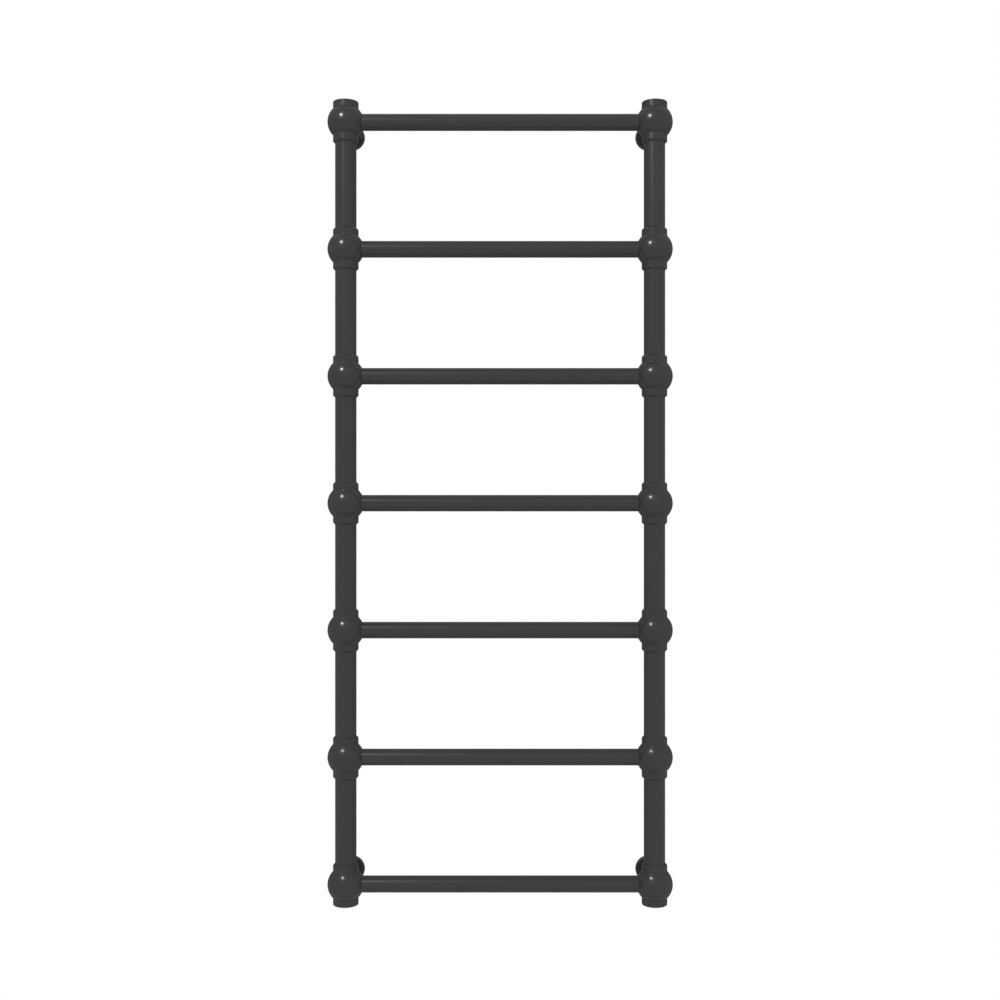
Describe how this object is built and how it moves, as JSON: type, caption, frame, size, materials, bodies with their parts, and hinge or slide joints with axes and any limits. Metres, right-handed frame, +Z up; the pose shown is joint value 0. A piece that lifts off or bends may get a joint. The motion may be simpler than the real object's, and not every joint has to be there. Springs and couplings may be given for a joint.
{
  "type": "towel warmer rack",
  "caption": "Wall-hung ladder towel warmer for hot water: round rungs between two uprights built of ball fittings and tubes, held off the wall by stems with cover roses.",
  "frame": {"origin": "on the wall, at the centre of the four wall brackets", "axes": "+X to the right seen from the room, +Y into the wall, +Z up; the rack stands on the -Y side of the wall"},
  "size_m": [0.5164, 0.1072, 1.2043],
  "materials": {
    "anthracite_coat": "satin anthracite powder coat on steel and brass",
    "zinc_steel": "bright zinc-plated steel",
    "hardened_steel": "black oxide hardened steel",
    "valve_brass": "nickel-plated turned brass",
    "spindle_steel": "turned and milled stainless steel",
    "seal_rubber": "matte black sealing rubber"
  },
  "bodies": {
    "rack": {"left_ball_1": "anthracite_coat", "left_ball_2": "anthracite_coat", "left_ball_3": "anthracite_coat", "left_ball_4": "anthracite_coat", "left_ball_5": "anthracite_coat", "left_ball_6": "anthracite_coat", "left_ball_7": "anthracite_coat", "right_ball_1": "anthracite_coat", "right_ball_2": "anthracite_coat", "right_ball_3": "anthracite_coat", "right_ball_4": "anthracite_coat", "right_ball_5": "anthracite_coat", "right_ball_6": "anthracite_coat", "right_ball_7": "anthracite_coat", "left_tube_1": "anthracite_coat", "left_tube_2": "anthracite_coat", "left_tube_3": "anthracite_coat", "left_tube_4": "anthracite_coat", "left_tube_5": "anthracite_coat", "left_tube_6": "anthracite_coat", "right_tube_1": "anthracite_coat", "right_tube_2": "anthracite_coat", "right_tube_3": "anthracite_coat", "right_tube_4": "anthracite_coat", "right_tube_5": "anthracite_coat", "right_tube_6": "anthracite_coat", "rung_1": "anthracite_coat", "rung_2": "anthracite_coat", "rung_3": "anthracite_coat", "rung_4": "anthracite_coat", "rung_5": "anthracite_coat", "rung_6": "anthracite_coat", "rung_7": "anthracite_coat", "left_top_cap": "anthracite_coat", "right_top_cap": "anthracite_coat", "left_inlet_bush": "anthracite_coat", "right_inlet_bush": "anthracite_coat", "bottom_left_stem": "anthracite_coat", "bottom_right_stem": "anthracite_coat", "top_left_stem": "anthracite_coat", "top_right_stem": "anthracite_coat", "bottom_left_wall_flange": "zinc_steel", "bottom_right_wall_flange": "zinc_steel", "top_left_wall_flange": "zinc_steel", "top_right_wall_flange": "zinc_steel", "grub_screws": "hardened_steel", "bleed_valve_body": "valve_brass", "end_seals": "seal_rubber"},
    "bleed_spindle": {"bleed_spindle": "spindle_steel"},
    "bottom_left_rose": {"bottom_left_rose": "anthracite_coat"},
    "bottom_right_rose": {"bottom_right_rose": "anthracite_coat"},
    "top_left_rose": {"top_left_rose": "anthracite_coat"},
    "top_right_rose": {"top_right_rose": "anthracite_coat"}
  },
  "joints": [
    {"name": "bleed_spindle_turn", "type": "hinge", "parent": "rack", "child": "bleed_spindle", "pos_m": [0.231, -0.08, 0.6], "axis": [0, 0, 1], "range_deg": [0, 360]},
    {"name": "bottom_left_rose_slide", "type": "slide", "parent": "rack", "child": "bottom_left_rose", "axis": [0, -1, 0], "range_m": [0, 0.04]},
    {"name": "bottom_right_rose_slide", "type": "slide", "parent": "rack", "child": "bottom_right_rose", "axis": [0, -1, 0], "range_m": [0, 0.04]},
    {"name": "top_left_rose_slide", "type": "slide", "parent": "rack", "child": "top_left_rose", "axis": [0, -1, 0], "range_m": [0, 0.04]},
    {"name": "top_right_rose_slide", "type": "slide", "parent": "rack", "child": "top_right_rose", "axis": [0, -1, 0], "range_m": [0, 0.04]}
  ]
}
